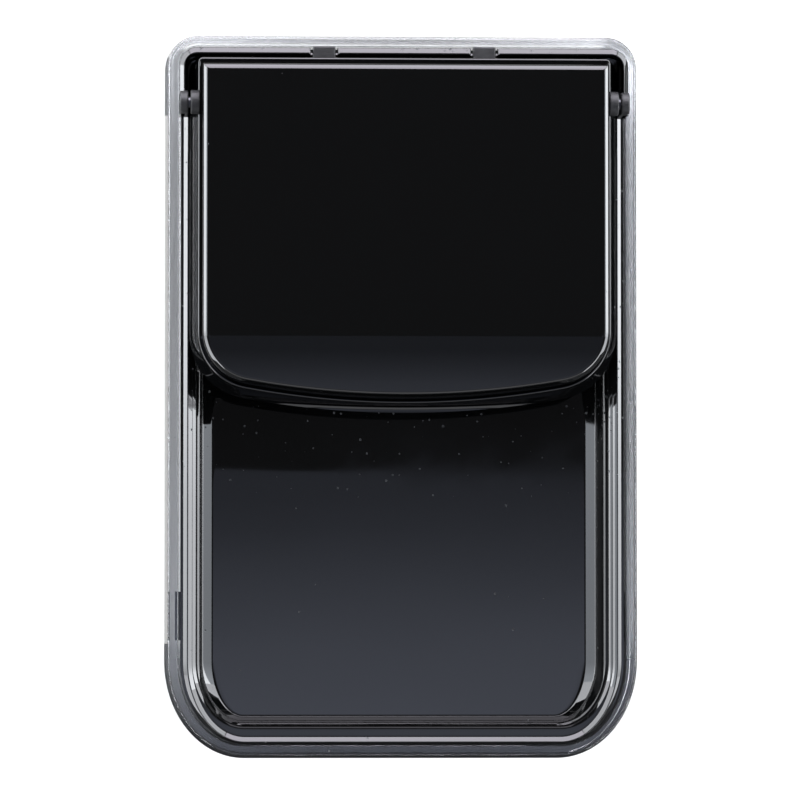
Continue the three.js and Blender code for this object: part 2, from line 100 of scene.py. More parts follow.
def carried(outline_at, section, base=lambda y: 0 * y):
    """A section carried round an outline: a ring of points for each (inset, height) pair, its
    height over a base that may change along the length."""
    rings = [np.column_stack([ring, base(ring[:, 1]) + height])
             for ring, height in ((outline_at(inset), height) for inset, height in section)]
    return np.array(rings)


# Distances in metres: points nearer than the first are one, and edges shorter than the second go
ONE_POINT, NO_EDGE = 2e-7, 1e-7


def mesh_piece(name, points, faces, sharp=30):
    """A piece from points in millimetres. Points in one place are merged, faces with no area go,
    and edges sharper than an angle stay sharp."""
    mesh = bpy.data.meshes.new(name)
    mesh.from_pydata((points.reshape(-1, 3) / 1000).tolist(), [], faces)
    shape = bmesh.new()
    shape.from_mesh(mesh)
    bmesh.ops.remove_doubles(shape, verts=shape.verts, dist=ONE_POINT)
    bmesh.ops.dissolve_degenerate(shape, edges=shape.edges, dist=NO_EDGE)
    bmesh.ops.recalc_face_normals(shape, faces=shape.faces)
    shape.to_mesh(mesh)
    shape.free()
    mesh.shade_smooth()
    mesh.set_sharp_from_angle(angle=np.radians(sharp))
    piece = bpy.data.objects.new(name, mesh)
    bpy.context.scene.collection.objects.link(piece)
    return piece


def shell_piece(name, rings, sharp=30):
    """A closed piece over rings: quads from each ring to the next and, over each end, strips from
    every point to its mirror point."""
    levels, points = rings.shape[:2]
    i = np.arange(points)
    j = (i + 1) % points
    low = np.arange(levels - 1)[:, None] * points
    high = low + points
    quads = np.stack([low + i, low + j, high + j, high + i], axis=2).reshape(-1, 4)
    k = np.arange(points // 2 - 1)
    strip = np.stack([k, k + 1, points - 2 - k, points - 1 - k], axis=1)
    faces = np.concatenate([quads, strip[:, ::-1], strip + (levels - 1) * points])
    return mesh_piece(name, rings, faces.tolist(), sharp)


def prism(name, profile, across, ends):
    """A flat profile carried along one axis between two ends, closed by its own two faces."""
    profile = np.asarray(profile, float)
    n = len(profile)
    layers = [np.insert(profile, "xyz".index(across), end, axis=1) for end in ends]
    i = np.arange(n)
    sides = np.stack([i, (i + 1) % n, (i + 1) % n + n, i + n], axis=1).tolist()
    return mesh_piece(name, np.concatenate(layers), sides + [list(range(n)), list(range(n, 2 * n))])


def case_bow(z):
    """How far the wall has leaned in at a height: the bow times the square of the share of the way
    from half height to the rim."""
    middle = (CASE_RIM_Z + CASE_BOTTOM_Z) / 2
    return WALL_BOW * ((z - middle) / (CASE_RIM_Z - middle)) ** 2


def make_case():
    """The tub's section carried round its outline: bottom edge, bowed wall, rim, then down the
    upright inner wall and round into the floor."""
    edge_z, shoulder_z = CASE_BOTTOM_Z + BOTTOM_EDGE, CASE_RIM_Z - RIM_ROUND
    rim_outer, rim_inner = case_bow(shoulder_z) + RIM_ROUND, CASE_WALL - RIM_INNER_ROUND
    heights = np.linspace(edge_z, shoulder_z, 14)[1:-1]
    section = np.concatenate([
        quarter((case_bow(CASE_BOTTOM_Z) + BOTTOM_EDGE, CASE_BOTTOM_Z), (case_bow(edge_z), edge_z), "level"),
        np.stack([case_bow(heights), heights], axis=1),
        quarter((case_bow(shoulder_z), shoulder_z), (rim_outer, CASE_RIM_Z), "upright"),
        [(rim_outer + CLOSE_HOLD, CASE_RIM_Z), (rim_inner - CLOSE_HOLD, CASE_RIM_Z)],
        quarter((rim_inner, CASE_RIM_Z), (CASE_WALL, CASE_RIM_Z - RIM_INNER_ROUND), "level"),
        quarter((CASE_WALL, CASE_FLOOR_Z + INNER_ROUND), (CASE_WALL + INNER_ROUND, CASE_FLOOR_Z), "upright"),
        [(CASE_WALL + INNER_ROUND + HOLD, CASE_FLOOR_Z)],
    ])
    return shell_piece("clear_case", carried(case_outline, section))


def group(name, outputs, inputs=()):
    """A shader node group with named inputs and outputs, and its two end nodes."""
    tree = bpy.data.node_groups.new(name, "ShaderNodeTree")
    for label, kind, value in inputs:
        socket = tree.interface.new_socket(label, in_out="INPUT", socket_type=kind)
        socket.default_value = value
    for label, kind in outputs:
        tree.interface.new_socket(label, in_out="OUTPUT", socket_type=kind)
    return tree, tree.nodes.new("NodeGroupInput"), tree.nodes.new("NodeGroupOutput")


def node(tree, kind, settings=(), values=(), **sources):
    """A node of a tree. settings are its own properties, values its sockets' numbers, and sources
    the sockets that feed it, by name or, as in_0, by place."""
    made = tree.nodes.new(kind)
    for key, value in dict(settings).items():
        setattr(made, key, value)
    for key, value in dict(values).items():
        made.inputs[key].default_value = value
    for key, socket in sources.items():
        place = int(key[3:]) if key.startswith("in_") else key.replace("_", " ")
        tree.links.new(socket, made.inputs[place])
    return made


def math_node(tree, operation, first, second):
    """One sum: each side is a socket or a number."""
    made = tree.nodes.new("ShaderNodeMath")
    made.operation = operation
    for place, side in enumerate((first, second)):
        if isinstance(side, bpy.types.NodeSocket):
            tree.links.new(side, made.inputs[place])
        else:
            made.inputs[place].default_value = side
    return made.outputs[0]


def graded(tree, source, start, end, low=0.0, high=1.0):
    """A value that goes evenly from low to high while its source goes from start to end."""
    limits = {"From Min": start, "From Max": end, "To Min": low, "To Max": high}
    return node(tree, "ShaderNodeMapRange", {}, limits, Value=source).outputs["Result"]


def spread(tree, mask, low, high):
    """A mask spread between two numbers."""
    return graded(tree, mask, 0.0, 1.0, low, high)


def object_places(tree):
    """Where a point of the piece lies, in metres, as X, Y and Z."""
    place = node(tree, "ShaderNodeTexCoord")
    return node(tree, "ShaderNodeSeparateXYZ", Vector=place.outputs["Object"]).outputs


# Lint and dust: one speck in some cells of a Voronoi pattern, each of its own size
lint, lint_in, lint_out = group(
    "lint", [("Mask", "NodeSocketFloat")],
    [("Spacing", "NodeSocketFloat", 0.002), ("Size", "NodeSocketFloat", 0.1),
     ("Share", "NodeSocketFloat", 0.3)])
place = node(lint, "ShaderNodeTexCoord")
cell_scale = math_node(lint, "DIVIDE", 1.0, lint_in.outputs["Spacing"])
cells = node(lint, "ShaderNodeTexVoronoi", dict(feature="F1"), {}, Vector=place.outputs["Object"],
             Scale=cell_scale)
chance = node(lint, "ShaderNodeSeparateColor", Color=cells.outputs["Color"])
radius = math_node(lint, "MULTIPLY", lint_in.outputs["Size"], chance.outputs["Green"])
inside = math_node(lint, "LESS_THAN", cells.outputs["Distance"], radius)
chosen = math_node(lint, "LESS_THAN", chance.outputs["Red"], lint_in.outputs["Share"])
lint.links.new(math_node(lint, "MULTIPLY", inside, chosen), lint_out.inputs["Mask"])

# Handling: cloudy finger film, and the gentle swell of a moulded face
handling, handling_in, handling_out = group(
    "handling", [("Film", "NodeSocketFloat"), ("Swell", "NodeSocketFloat")],
    [("Film scale", "NodeSocketFloat", 70.0), ("Swell scale", "NodeSocketFloat", 22.0)])
place = node(handling, "ShaderNodeTexCoord")
film = node(handling, "ShaderNodeTexNoise", {}, {"Detail": 4.0, "Roughness": 0.62},
            Vector=place.outputs["Object"], Scale=handling_in.outputs["Film scale"])
swell = node(handling, "ShaderNodeTexNoise", {}, {"Detail": 1.0, "Roughness": 0.4},
             Vector=place.outputs["Object"], Scale=handling_in.outputs["Swell scale"])
handling.links.new(graded(handling, film.outputs["Fac"], 0.45, 0.72), handling_out.inputs["Film"])
handling.links.new(swell.outputs["Fac"], handling_out.inputs["Swell"])


def placed(tree, shared, **values):
    """A shared effect placed in a material with its own values."""
    made = tree.nodes.new("ShaderNodeGroup")
    made.node_tree = shared
    for key, value in values.items():
        made.inputs[key.replace("_", " ")].default_value = value
    return made


def finish_material(name, **values):
    """A new material, its tree and its one shader, with the shader's plain numbers set."""
    material = bpy.data.materials.new(name)
    material.use_nodes = True
    shader = material.node_tree.nodes["Principled BSDF"]
    for key, value in values.items():
        shader.inputs[key.replace("_", " ")].default_value = value
    return material, material.node_tree, shader


def blend_colours(tree, mask, plain, marked):
    """A plain colour that gives way to a second one by a mask."""
    made = node(tree, "ShaderNodeMix", dict(data_type="RGBA"))
    made.inputs[6].default_value, made.inputs[7].default_value = (*plain, 1), (*marked, 1)
    tree.links.new(mask, made.inputs[0])
    return made.outputs[2]


def dress(piece, material):
    """A material in place of any that the piece has."""
    piece.data.materials.clear()
    piece.data.materials.append(material)


# The frost lies on the outside of the floor, and fades out towards the front. Places in metres
FROST_TOP_Z, FROST_FRONT_Y, FROST_REAR_Y, FROST_ROUGHNESS = 0.0018, -0.048, -0.030, 0.5
CLEAR_COLOUR, LINT_COLOUR, PASSED_COLOUR = (0.965, 0.975, 0.985), (0.6, 0.62, 0.65), (0.9, 0.91, 0.92, 1)
clear_styrene, tree, shader = finish_material("clear_styrene", Transmission_Weight=1.0, IOR=1.49)
dust = placed(tree, lint, Spacing=0.0022, Size=0.12, Share=0.25).outputs["Mask"]
wear = placed(tree, handling, Film_scale=90.0, Swell_scale=30.0)
tree.links.new(blend_colours(tree, dust, CLEAR_COLOUR, LINT_COLOUR), shader.inputs["Base Color"])
smudges = math_node(tree, "MAXIMUM", spread(tree, wear.outputs["Film"], 0.0, 0.06),
                    spread(tree, dust, 0.0, 0.5))
places = object_places(tree)
underside = math_node(tree, "MULTIPLY", math_node(tree, "LESS_THAN", places["Z"], FROST_TOP_Z),
                      graded(tree, places["Y"], FROST_FRONT_Y, FROST_REAR_Y))
frosted = math_node(tree, "MAXIMUM", smudges, spread(tree, underside, 0.0, FROST_ROUGHNESS))
tree.links.new(frosted, shader.inputs["Roughness"])
# Shadows and bounced light pass straight through the wall, as they do in a thin clear moulding
light_path = tree.nodes.new("ShaderNodeLightPath")
straight = math_node(tree, "MAXIMUM", light_path.outputs["Is Shadow Ray"],
                     light_path.outputs["Is Diffuse Ray"])
see_through = node(tree, "ShaderNodeBsdfTransparent", {}, {"Color": PASSED_COLOUR})
passed = node(tree, "ShaderNodeMixShader", {}, {}, in_0=straight, in_1=shader.outputs["BSDF"],
              in_2=see_through.outputs["BSDF"])
tree.links.new(passed.outputs["Shader"], tree.nodes["Material Output"].inputs["Surface"])

clear_case = make_case()
dress(clear_case, clear_styrene)
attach(clear_case, "base")
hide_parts("case_shell")

# Rubber feet
# Four discs of black rubber, pressed into the recesses under the case. Their moulded faces are
# dull and slightly pitted, with a paler film of dust in clouds.


def grained(name, base, marked, roughness, grain_scale, depth, **values):
    """A dull moulded finish: fine grain in the surface, and a paler film in clouds."""
    material, tree, shader = finish_material(name, **values)
    place = node(tree, "ShaderNodeTexCoord")
    grain = node(tree, "ShaderNodeTexNoise", {}, {"Scale": grain_scale, "Detail": 5.0, "Roughness": 0.7},
                 Vector=place.outputs["Object"])
    wear = placed(tree, handling, Film_scale=grain_scale / 12)
    tree.links.new(blend_colours(tree, wear.outputs["Film"], base, marked), shader.inputs["Base Color"])
    tree.links.new(spread(tree, grain.outputs["Fac"], *roughness), shader.inputs["Roughness"])
    relief = {"Strength": 0.6, "Distance": depth}
    bump = node(tree, "ShaderNodeBump", {}, relief, Height=grain.outputs["Fac"])
    tree.links.new(bump.outputs["Normal"], shader.inputs["Normal"])
    return material


foot_rubber = grained("foot_rubber", (0.012, 0.012, 0.013), (0.045, 0.045, 0.047), roughness=(0.65, 0.9),
                      grain_scale=2400.0, depth=0.00006)
for corner in ("front_left", "front_right", "rear_left", "rear_right"):
    dress(nodes[f"foot_{corner}"], foot_rubber)

# Black tray
# One glossy black moulding: an outer wall inside the case, a crest, a ledge under the lid, an inner
# wall that leans in, and a floor that climbs under the lid from the open dish to the reservoir.
# Behind the ears its wall steps down into the pocket for the lid's tail.
TRAY_INSET, TRAY_WALL, FIT = 2.3, 0.95, 0.3
TRAY_FLOOR, TRAY_EDGE, DISH_FLOOR_Z, CREST_Z, LEDGE_Z = 1.4, 2.2, 3.9, 16.6, 16.0
RAMP_RISE, RESERVOIR_RISE = 2.7, 3.9
POCKET_INSET, POCKET_FLOOR_Z = TRAY_INSET + TRAY_WALL, 13.18
# The crest is a low roof: a ridge, and an outer edge over a rebate, which juts out across the front
CREST_WIDTH, CREST_LIP, RIDGE_IN, RIDGE_RISE = 1.55, 0.2, 1.0, 0.565
REBATE, REBATE_DEPTH, REBATE_FOOT = 0.35, 1.5, 0.7
RIDGE_INSET, CREST_EDGE = TRAY_INSET + RIDGE_IN, TRAY_INSET + REBATE
# The ledge inside it ends in a bevel. Its corners are given in from the crest's inner edge and up
# from the ledge's height. Across the front the ridge and these corners have insets of their own
LEDGE_WIDTH, LEDGE_ROUND, LEDGE_INSET = 0.35, 0.4, TRAY_INSET + CREST_WIDTH
LEDGE_CORNERS = np.array([(0.1, 0.05), (0.15, 0.03), (0.8, -0.47), (0.9, -1.2)])
FRONT_RIDGE, FRONT_LEDGE = -1.4, np.array([-0.7, 0.6, 0.83, 0.9])
CORNER_REACHES = (0.05, 0.05, 0.05, 0.14, 0.02, 0.02, 0.3)
# The inner wall leans in, and a cant, a flat facet that is narrower at the front, joins the floor
WALL_LEAN, LEAN_AT_POCKET, WALL_SLOPE_IN, WALL_SLOPE_UP = 0.8, 0.28, 0.15, 3.0
CANT_RISE, CANT_WIDTH, CANT_FRONT_WIDTH, CANT_SOFTENING, FLOOR_HOLD = 1.15, 1.75, 0.6, 0.35, 1.0
WALL_TOP_INSET = LEDGE_INSET + LEDGE_WIDTH + LEDGE_ROUND
WALL_FOOT_INSET = WALL_TOP_INSET + WALL_LEAN


def tray_floor(y):
    """Height of the floor: level in the dish, up a ramp under the lid, then a long slope."""
    ramp = np.clip((y - RAMP_FRONT_Y) / (RAMP_REAR_Y - RAMP_FRONT_Y), 0, 1)
    slope = np.clip((y - RAMP_REAR_Y) / (HALF_LENGTH - TRAY_INSET - RAMP_REAR_Y), 0, 1)
    return DISH_FLOOR_Z + ramp * RAMP_RISE + slope * RESERVOIR_RISE


def soft_corner(before, corner, after, reach, count=7):
    """A corner of a section rounded over: a curve that starts on one side of it, at a distance, and
    ends on the other, drawn towards the corner by the product of the two shares of its length."""
    before, corner, after = (np.array(p, float) for p in (before, corner, after))
    first = corner + (before - corner) / np.linalg.norm(before - corner) * reach
    last = corner + (after - corner) / np.linalg.norm(after - corner) * reach
    t = np.linspace(0, 1, count)[:, None]
    return (1 - t) ** 2 * first + 2 * t * (1 - t) * corner + t ** 2 * last


def crest_outline(inset):
    """Outline of the crest and ledge: what lies at an inset at the sides lies at its own inset
    across the front, read off straight lines between the section's corners."""
    at_sides = (TRAY_INSET, CREST_EDGE, RIDGE_INSET, *(LEDGE_INSET + LEDGE_CORNERS[:, 0]))
    across_front = (TRAY_INSET, TRAY_INSET - CREST_LIP, LEDGE_INSET + FRONT_RIDGE,
                    *(LEDGE_INSET + FRONT_LEDGE))
    return case_outline(inset, np.interp(inset, at_sides, across_front))


def cant_outline(inset):
    """Outline of the cant: its width shrinks from that of the sides to that of the front."""
    share = (inset - WALL_FOOT_INSET) / CANT_WIDTH
    return case_outline(inset, WALL_FOOT_INSET + share * (CANT_FRONT_WIDTH if share > 0 else CANT_WIDTH))


def make_tray():
    """The tray's section carried round: underside, outer wall, crest, ledge, inner wall, cant and
    floor, with the parts next to the floor raised as it climbs."""
    lower = quarter((TRAY_INSET + TRAY_EDGE, 0), (TRAY_INSET, TRAY_EDGE), "level")
    roof = [(TRAY_INSET, CREST_Z - REBATE_DEPTH - REBATE_FOOT), (TRAY_INSET, CREST_Z - REBATE_DEPTH),
            (CREST_EDGE, CREST_Z - REBATE_DEPTH), (CREST_EDGE, CREST_Z - RIDGE_RISE), (RIDGE_INSET, CREST_Z),
            *((LEDGE_INSET, LEDGE_Z) + LEDGE_CORNERS)]
    crest = np.concatenate([soft_corner(*roof[k:k + 3], reach) for k, reach in enumerate(CORNER_REACHES)])
    cant = [(WALL_FOOT_INSET - WALL_SLOPE_IN, CANT_RISE + WALL_SLOPE_UP), (WALL_FOOT_INSET, CANT_RISE),
            (WALL_FOOT_INSET + CANT_WIDTH, 0), (WALL_FOOT_INSET + CANT_WIDTH + FLOOR_HOLD, 0)]
    foot = np.concatenate([*(soft_corner(*cant[k:k + 3], CANT_SOFTENING) for k in (0, 1)), [cant[3]]])
    rings = np.concatenate([
        carried(case_outline, lower, lambda y: tray_floor(y) - TRAY_FLOOR),
        carried(crest_outline, crest),
        carried(case_outline, [(WALL_TOP_INSET + WALL_LEAN * LEAN_AT_POCKET, POCKET_FLOOR_Z)]),
        carried(cant_outline, foot, tray_floor),
    ])
    # Behind the pocket's front wall the crest is cut off upright, down to the pocket's floor
    front = FRONT_POINTS + np.flatnonzero(SIDE_STATIONS == POCKET_FRONT_Y)[1]
    behind = slice(front, rings.shape[1] - front)
    inner = len(lower) + np.flatnonzero(crest[:, 0] > POCKET_INSET)
    slope = RIDGE_RISE / (RIDGE_INSET - CREST_EDGE)
    rings[inner, behind, :2] = case_outline(POCKET_INSET)[behind]
    rings[inner[0], behind, 2] = CREST_Z - slope * (RIDGE_INSET - POCKET_INSET)
    rings[inner[1:], behind, 2] = POCKET_FLOOR_Z
    return shell_piece("tray_bowl", rings)


# Dust lies thicker towards the lid from a line in the dish on, in metres, up to a share of its cells
MOUTH_DUST_Y, MOUTH_DUST_SHARE, DUST_COLOUR = -0.016, 0.9, (0.15, 0.155, 0.16)


def gloss_plastic(name, colour, roughness, swell_strength, swell_scale, dust_share, mouth=False):
    """Polished moulded plastic: nearly black, lint on it, a thin finger film and a slow swell. At
    the mouth, where clips slide out, fine dust lies thicker the nearer it is to the lid."""
    material, tree, shader = finish_material(name, IOR=1.5)
    dust = placed(tree, lint, Spacing=0.0026, Size=0.07, Share=dust_share).outputs["Mask"]
    if mouth:
        fine = placed(tree, lint, Spacing=0.001, Size=0.2)
        nearness = graded(tree, object_places(tree)["Y"], MOUTH_DUST_Y, 0.0, 0.0, MOUTH_DUST_SHARE)
        tree.links.new(nearness, fine.inputs["Share"])
        dust = math_node(tree, "MAXIMUM", dust, fine.outputs["Mask"])
    wear = placed(tree, handling, Film_scale=55.0, Swell_scale=swell_scale)
    tree.links.new(blend_colours(tree, dust, colour, DUST_COLOUR), shader.inputs["Base Color"])
    dulled = math_node(tree, "MAXIMUM", spread(tree, wear.outputs["Film"], *roughness),
                       spread(tree, dust, 0.0, 0.7))
    tree.links.new(dulled, shader.inputs["Roughness"])
    relief = {"Strength": swell_strength, "Distance": 0.0002}
    bump = node(tree, "ShaderNodeBump", {}, relief, Height=wear.outputs["Swell"])
    tree.links.new(bump.outputs["Normal"], shader.inputs["Normal"])
    return material


tray_black = gloss_plastic("tray_black", (0.0085, 0.0087, 0.0090), roughness=(0.015, 0.06),
                           swell_strength=0.10, swell_scale=40.0, dust_share=0.75, mouth=True)
tray_bowl = make_tray()

# The raised rim round the rear of the lid, in three lengths between two notches. Its top is a bevel
# that falls outwards, and its cut ends are rounded over. A flange joins its foot to the crest
REAR_RIM_X, REAR_RIM_Y, REAR_RIM_Z = 32.5, 50.1, 21.2
REAR_RIM_SIDE, REAR_RIM_BACK, REAR_RIM_CORNER = 0.75, 0.95, 2.6
REAR_RIM_BEVEL, REAR_RIM_CROWN, BEVEL_REACH, END_ROUND = 0.55, 0.8, 0.1, 0.45
FLANGE_Z, FLANGE_DROP, PIN_Y, EAR_RADIUS = 15.7, 0.3, 42.0, 1.6
NOTCH_X, NOTCH_WIDTH = 11.6, 3.9
NOTCH_INNER_X, NOTCH_OUTER_X = NOTCH_X - NOTCH_WIDTH / 2, NOTCH_X + NOTCH_WIDTH / 2
# Plain points along the rim stay this far from its rounded corner
CORNER_GAP = 0.5


def rim_length(share, where):
    """Plan of one length of the rim, in by a share of its wall: the right arm and corner up to the
    notch, or the middle of the back. Points gather at a cut end as one minus the cosine."""
    y = REAR_RIM_Y - min(share, 1) * REAR_RIM_BACK
    ease = END_ROUND * (1 - np.cos(np.radians(np.linspace(0, 90, 8))))
    if where == "middle":
        straight = np.linspace(NOTCH_INNER_X - END_ROUND, END_ROUND - NOTCH_INNER_X, 7)[1:-1]
        xs = np.concatenate([NOTCH_INNER_X - ease, straight, (ease - NOTCH_INNER_X)[::-1]])
        return np.stack([xs, np.full(len(xs), y)], axis=1)
    x = REAR_RIM_X - share * REAR_RIM_SIDE
    corner = max(REAR_RIM_CORNER - share * REAR_RIM_SIDE, LEAST_CORNER)
    side = np.stack([np.full(6, x), np.linspace(PIN_Y - EAR_RADIUS, y - corner - CORNER_GAP, 6)], axis=1)
    straight = np.linspace(x - corner - CORNER_GAP, NOTCH_OUTER_X + END_ROUND, 5)[:-1]
    xs = np.concatenate([straight, (NOTCH_OUTER_X + ease)[::-1]])
    return np.concatenate([side, arc(x - corner, y - corner, corner, corner, 0, 90, 16),
                           np.stack([xs, np.full(len(xs), y)], axis=1)])


def make_rear_rim(where):
    """Points and faces of one length: its section, as (share of the wall, height), carried along
    its plan, with quads round it and a face over each cut end."""
    flange = (REAR_RIM_X - HALF_WIDTH + POCKET_INSET) / REAR_RIM_SIDE
    bevel = [(0, FLANGE_Z), (0, REAR_RIM_Z - REAR_RIM_BEVEL), (REAR_RIM_CROWN, REAR_RIM_Z)]
    section = np.concatenate([
        [(flange, FLANGE_Z), (0, FLANGE_Z)],
        soft_corner(*bevel, BEVEL_REACH),
        quarter((REAR_RIM_CROWN, REAR_RIM_Z), (1, REAR_RIM_Z - REAR_RIM_BEVEL / 3), "level", 7),
        [(1, CREST_Z - FLANGE_DROP), (flange, CREST_Z - FLANGE_DROP)],
    ])
    rings = carried(lambda share: rim_length(share, where), section)
    # Near a cut end the top comes down on a quarter round
    across = np.abs(rings[:, :, 0])
    to_end = across - NOTCH_OUTER_X if where == "right" else NOTCH_INNER_X - across
    near = np.clip(1 - to_end / END_ROUND, 0, 1)
    rings[:, :, 2] = np.minimum(rings[:, :, 2], REAR_RIM_Z - END_ROUND * (1 - np.sqrt(1 - near ** 2)))
    levels, points = rings.shape[:2]
    i, low = np.arange(points - 1), np.arange(levels)[:, None] * points
    high = (low + points) % (levels * points)
    quads = np.stack([low + i, low + i + 1, high + i + 1, high + i], axis=2).reshape(-1, 4).tolist()
    ends = [list(range(0, levels * points, points)), list(range(points - 1, levels * points, points))[::-1]]
    return rings, quads + ends


rim_parts = []
for where in ("right", "middle"):
    rings, faces = make_rear_rim(where)
    rim_parts.append(mesh_piece(f"tray_rear_rim_{where}", rings, faces))
    if where == "right":
        mirrored = [face[::-1] for face in faces]
        rim_parts.append(mesh_piece("tray_rear_rim_left", rings * (-1, 1, 1), mirrored))

# Hooks on the tray's flanks, wedges that are flat on top, and the ribs under its reservoir
HOOK_LENGTH, HOOK_Y, HOOK_Z, HOOK_HEIGHT, HOOK_REACH, HOOK_FACE = 7.1, -32.0, 7.5, 2.2, 0.75, 0.6
RIB_HALF_WIDTH, RIB_THICKNESS, RIB_YS = 24, 1.2, (11.0, 19.8, 33.0, 45.0)


def hook_profile(side):
    """A hook seen along the tray: flat on top, with a slope from a low upright face to its root."""
    root, tip = HALF_WIDTH - TRAY_INSET - TRAY_WALL / 2, HALF_WIDTH - TRAY_INSET + HOOK_REACH
    top, low = HOOK_Z + HOOK_HEIGHT / 2, HOOK_Z - HOOK_HEIGHT / 2
    return [(side * x, z) for x, z in [(root, low), (tip, top - HOOK_FACE), (tip, top), (root, top)]]


tray_hooks = [prism(f"tray_hook_{name}", hook_profile(side), "y",
                    (HOOK_Y - HOOK_LENGTH / 2, HOOK_Y + HOOK_LENGTH / 2))
              for name, side in (("left", -1), ("right", 1))]
tray_ribs = []
for number, y in enumerate(RIB_YS):
    top, low = tray_floor(np.array(y)) - TRAY_FLOOR / 2, CASE_FLOOR_Z + FIT
    profile = [(-RIB_HALF_WIDTH, low), (RIB_HALF_WIDTH, low), (RIB_HALF_WIDTH, top), (-RIB_HALF_WIDTH, top)]
    tray_ribs.append(prism(f"tray_rib_{number + 1}", profile, "y", (y, y + RIB_THICKNESS)))

for part in [tray_bowl, *rim_parts, *tray_hooks, *tray_ribs]:
    dress(part, tray_black)
    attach(part, "base")
    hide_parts("inner_tray")

# Ears
# The tray's rim rises on each side into a round-topped ear that holds a hinge pin. The ears are
# left dull from the mould, mottled grey in a raking light.
EAR_INNER_X, EAR_OUTER_X, EAR_TOP, PIN_Z = 31.25, 32.5, 1.8, 22.0
EDGE_ROUND, EDGE_STEPS = 0.0002, 3


def round_edges(part):
    """Sharp edges rounded over by a live bevel, its width in metres."""
    rounding = part.modifiers.new("rounded edges", "BEVEL")
    rounding.width, rounding.segments, rounding.limit_method = EDGE_ROUND, EDGE_STEPS, "ANGLE"


mottled_black = grained("mottled_black", (0.010, 0.010, 0.011), (0.05, 0.05, 0.052), roughness=(0.38, 0.62),
                        grain_scale=1500.0, depth=0.0001)
for name, side in (("left", -1), ("right", 1)):
    top = arc(PIN_Y, PIN_Z + EAR_TOP - EAR_RADIUS, EAR_RADIUS, EAR_RADIUS, 0, 180, 20)
    profile = np.concatenate([[(PIN_Y - EAR_RADIUS, FLANGE_Z), (PIN_Y + EAR_RADIUS, FLANGE_Z)], top])
    ear = prism(f"tray_ear_{name}", profile, "x", (side * EAR_INNER_X, side * EAR_OUTER_X))
    round_edges(ear)
    dress(ear, mottled_black)
    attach(ear, "base")
    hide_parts("inner_tray")

# Magnet and its retainer
# A bar of ferrite under the ramp holds the last clips at the mouth. A satin black strip with two
# end pads closes its pocket from below. Both are dropped in before the tray snaps into the case.
ferrite = grained("ferrite", (0.035, 0.036, 0.04), (0.075, 0.075, 0.08), roughness=(0.35, 0.6),
                  grain_scale=900.0, depth=0.00004, Metallic=0.4)
satin_black = grained("satin_black", (0.010, 0.010, 0.011), (0.022, 0.022, 0.024), roughness=(0.3, 0.45),
                      grain_scale=1600.0, depth=0.00003)
dress(nodes["magnet_bar"], ferrite)
dress(nodes["magnet_retainer"], satin_black)

# Hinge pins
# Two short steel pins with chamfered ends, pressed into the ears. The lid's bosses turn on them.
# They are blackened drawn wire: fine lines run along their length.
DRAWN_SCALE = (60.0, 9000.0, 9000.0)
pin_steel, tree, shader = finish_material("pin_steel", Metallic=1.0)
place = node(tree, "ShaderNodeTexCoord")
drawn = node(tree, "ShaderNodeMapping", {}, {"Scale": DRAWN_SCALE}, Vector=place.outputs["Object"])
lines = node(tree, "ShaderNodeTexNoise", {}, {"Scale": 1.0, "Detail": 3.0}, Vector=drawn.outputs["Vector"])
blackened = blend_colours(tree, lines.outputs["Fac"], (0.05, 0.05, 0.055), (0.11, 0.11, 0.12))
tree.links.new(blackened, shader.inputs["Base Color"])
tree.links.new(spread(tree, lines.outputs["Fac"], 0.2, 0.42), shader.inputs["Roughness"])
for side in ("left", "right"):
    dress(nodes[f"hinge_pin_{side}"], pin_steel)

# Lid frame
# The lower moulding of the lid: a drafted skirt that stands inside the crest, a deck with a low lip
# round the cover, a round boss inside each flank for the pin, and two dull tabs in the rim's notches.
LID_HALF_WIDTH, LID_REAR_Y, LID_FRONT_Y, LID_FRONT_ARC = 31.05, 48.75, -2.6, 130.0
LID_FRONT_CORNER, LID_REAR_CORNER, LEAST_LID_CORNER = 9.5, 1.9, 0.15
LID_SIDE_FRONT_Y, LID_SIDE_REAR_Y = 11, 44
SKIRT_Z, FRAME_TOP_Z, DECK_Z, FRAME_DECK = 16.8, 22.05, 21.55, 1.2
LIP_WIDTH, LIP_ROUND, LIP_CROWN = 0.5, 0.45, 0.7
SKIRT_DRAFT, SKIRT_REAR_DRAFT, SKIRT_WALL, SKIRT_EDGE = 1.15, 0.15, 1.5, 0.2
FALL_Y, FALL, FALL_LENGTH, CREASE = 8.0, 3.3, 9.0, 0.12


def lid_fall(y):
    """How far the lid's top has come down: nothing behind a line, then a share that grows straight
    from a soft crease plus one that grows as the square of the way."""
    share = np.maximum(0, FALL_Y - y) / FALL_LENGTH
    return share * (CREASE * FALL_LENGTH + (FALL - CREASE * FALL_LENGTH) * share)


